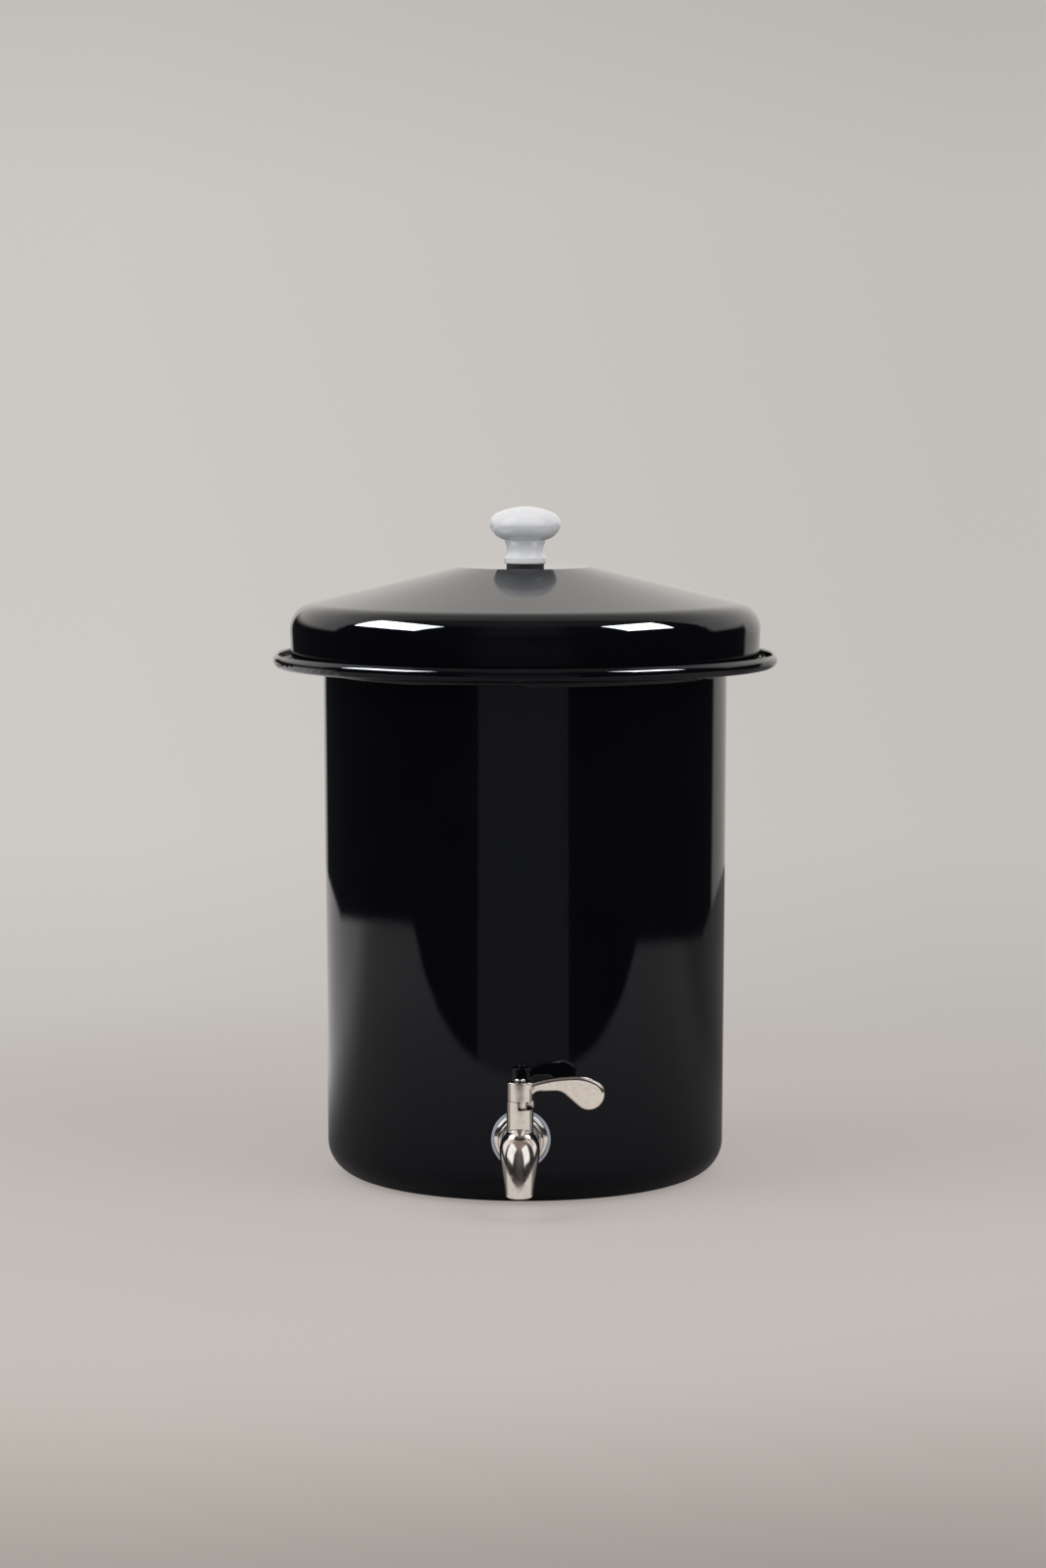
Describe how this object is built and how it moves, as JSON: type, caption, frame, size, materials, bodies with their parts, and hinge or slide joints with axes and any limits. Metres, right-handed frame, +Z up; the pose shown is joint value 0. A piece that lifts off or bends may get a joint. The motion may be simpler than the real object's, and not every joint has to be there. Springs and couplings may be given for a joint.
{
  "type": "gravity water filter",
  "caption": "Tall round enamelled canister with a lipped clay filter pot in its mouth, a low conical lid with a round knob, and a lever tap near the floor.",
  "frame": {"origin": "centre of the flat underside of the canister, on the surface it stands on", "axes": "+Z up along the canister's axis, -Y out through the tap towards the user, +X towards the closed lever"},
  "size_m": [0.3623, 0.3858, 0.4807],
  "materials": {
    "black_enamel": "glossy black vitreous enamel on steel",
    "fired_clay": "matte unglazed porous terracotta",
    "white_porcelain": "glossy white glaze",
    "polished_steel": "polished cast stainless steel",
    "plain_steel": "turned stainless steel",
    "clear_silicone": "translucent silicone",
    "black_rubber": "matte black rubber",
    "seal_plastic": "white waxy plastic",
    "brass": "turned brass"
  },
  "bodies": {
    "container": {"container_shell": "black_enamel", "outer_gasket": "clear_silicone", "flange_washer": "polished_steel", "tap_shank": "polished_steel", "shank_seal": "seal_plastic", "inner_gasket": "clear_silicone", "inner_washer": "plain_steel", "tap_nut": "plain_steel", "tap_body": "polished_steel", "rear_seat": "seal_plastic", "front_seat": "seal_plastic"},
    "pot": {"filter_pot": "fired_clay"},
    "lid": {"lid_shell": "black_enamel", "knob_gasket": "black_rubber", "lid_knob": "white_porcelain", "knob_insert": "brass", "knob_washer": "plain_steel", "knob_screw": "plain_steel"},
    "lever": {"valve_ball": "polished_steel", "valve_stem": "polished_steel", "stem_rings": "black_rubber", "thrust_washer": "seal_plastic", "lever_handle": "polished_steel", "lever_screw": "polished_steel"}
  },
  "joints": [
    {"name": "lever_turn", "type": "hinge", "parent": "container", "child": "lever", "pos_m": [0, -0.17266, 0.08], "axis": [0, 0, 1], "range_deg": [-90, 0]},
    {"name": "pot_lift", "type": "slide", "parent": "container", "child": "pot", "axis": [0, 0, 1], "range_m": [0, 0.25]},
    {"name": "lid_lift", "type": "slide", "parent": "pot", "child": "lid", "axis": [0, 0, 1], "range_m": [0, 0.12]}
  ]
}
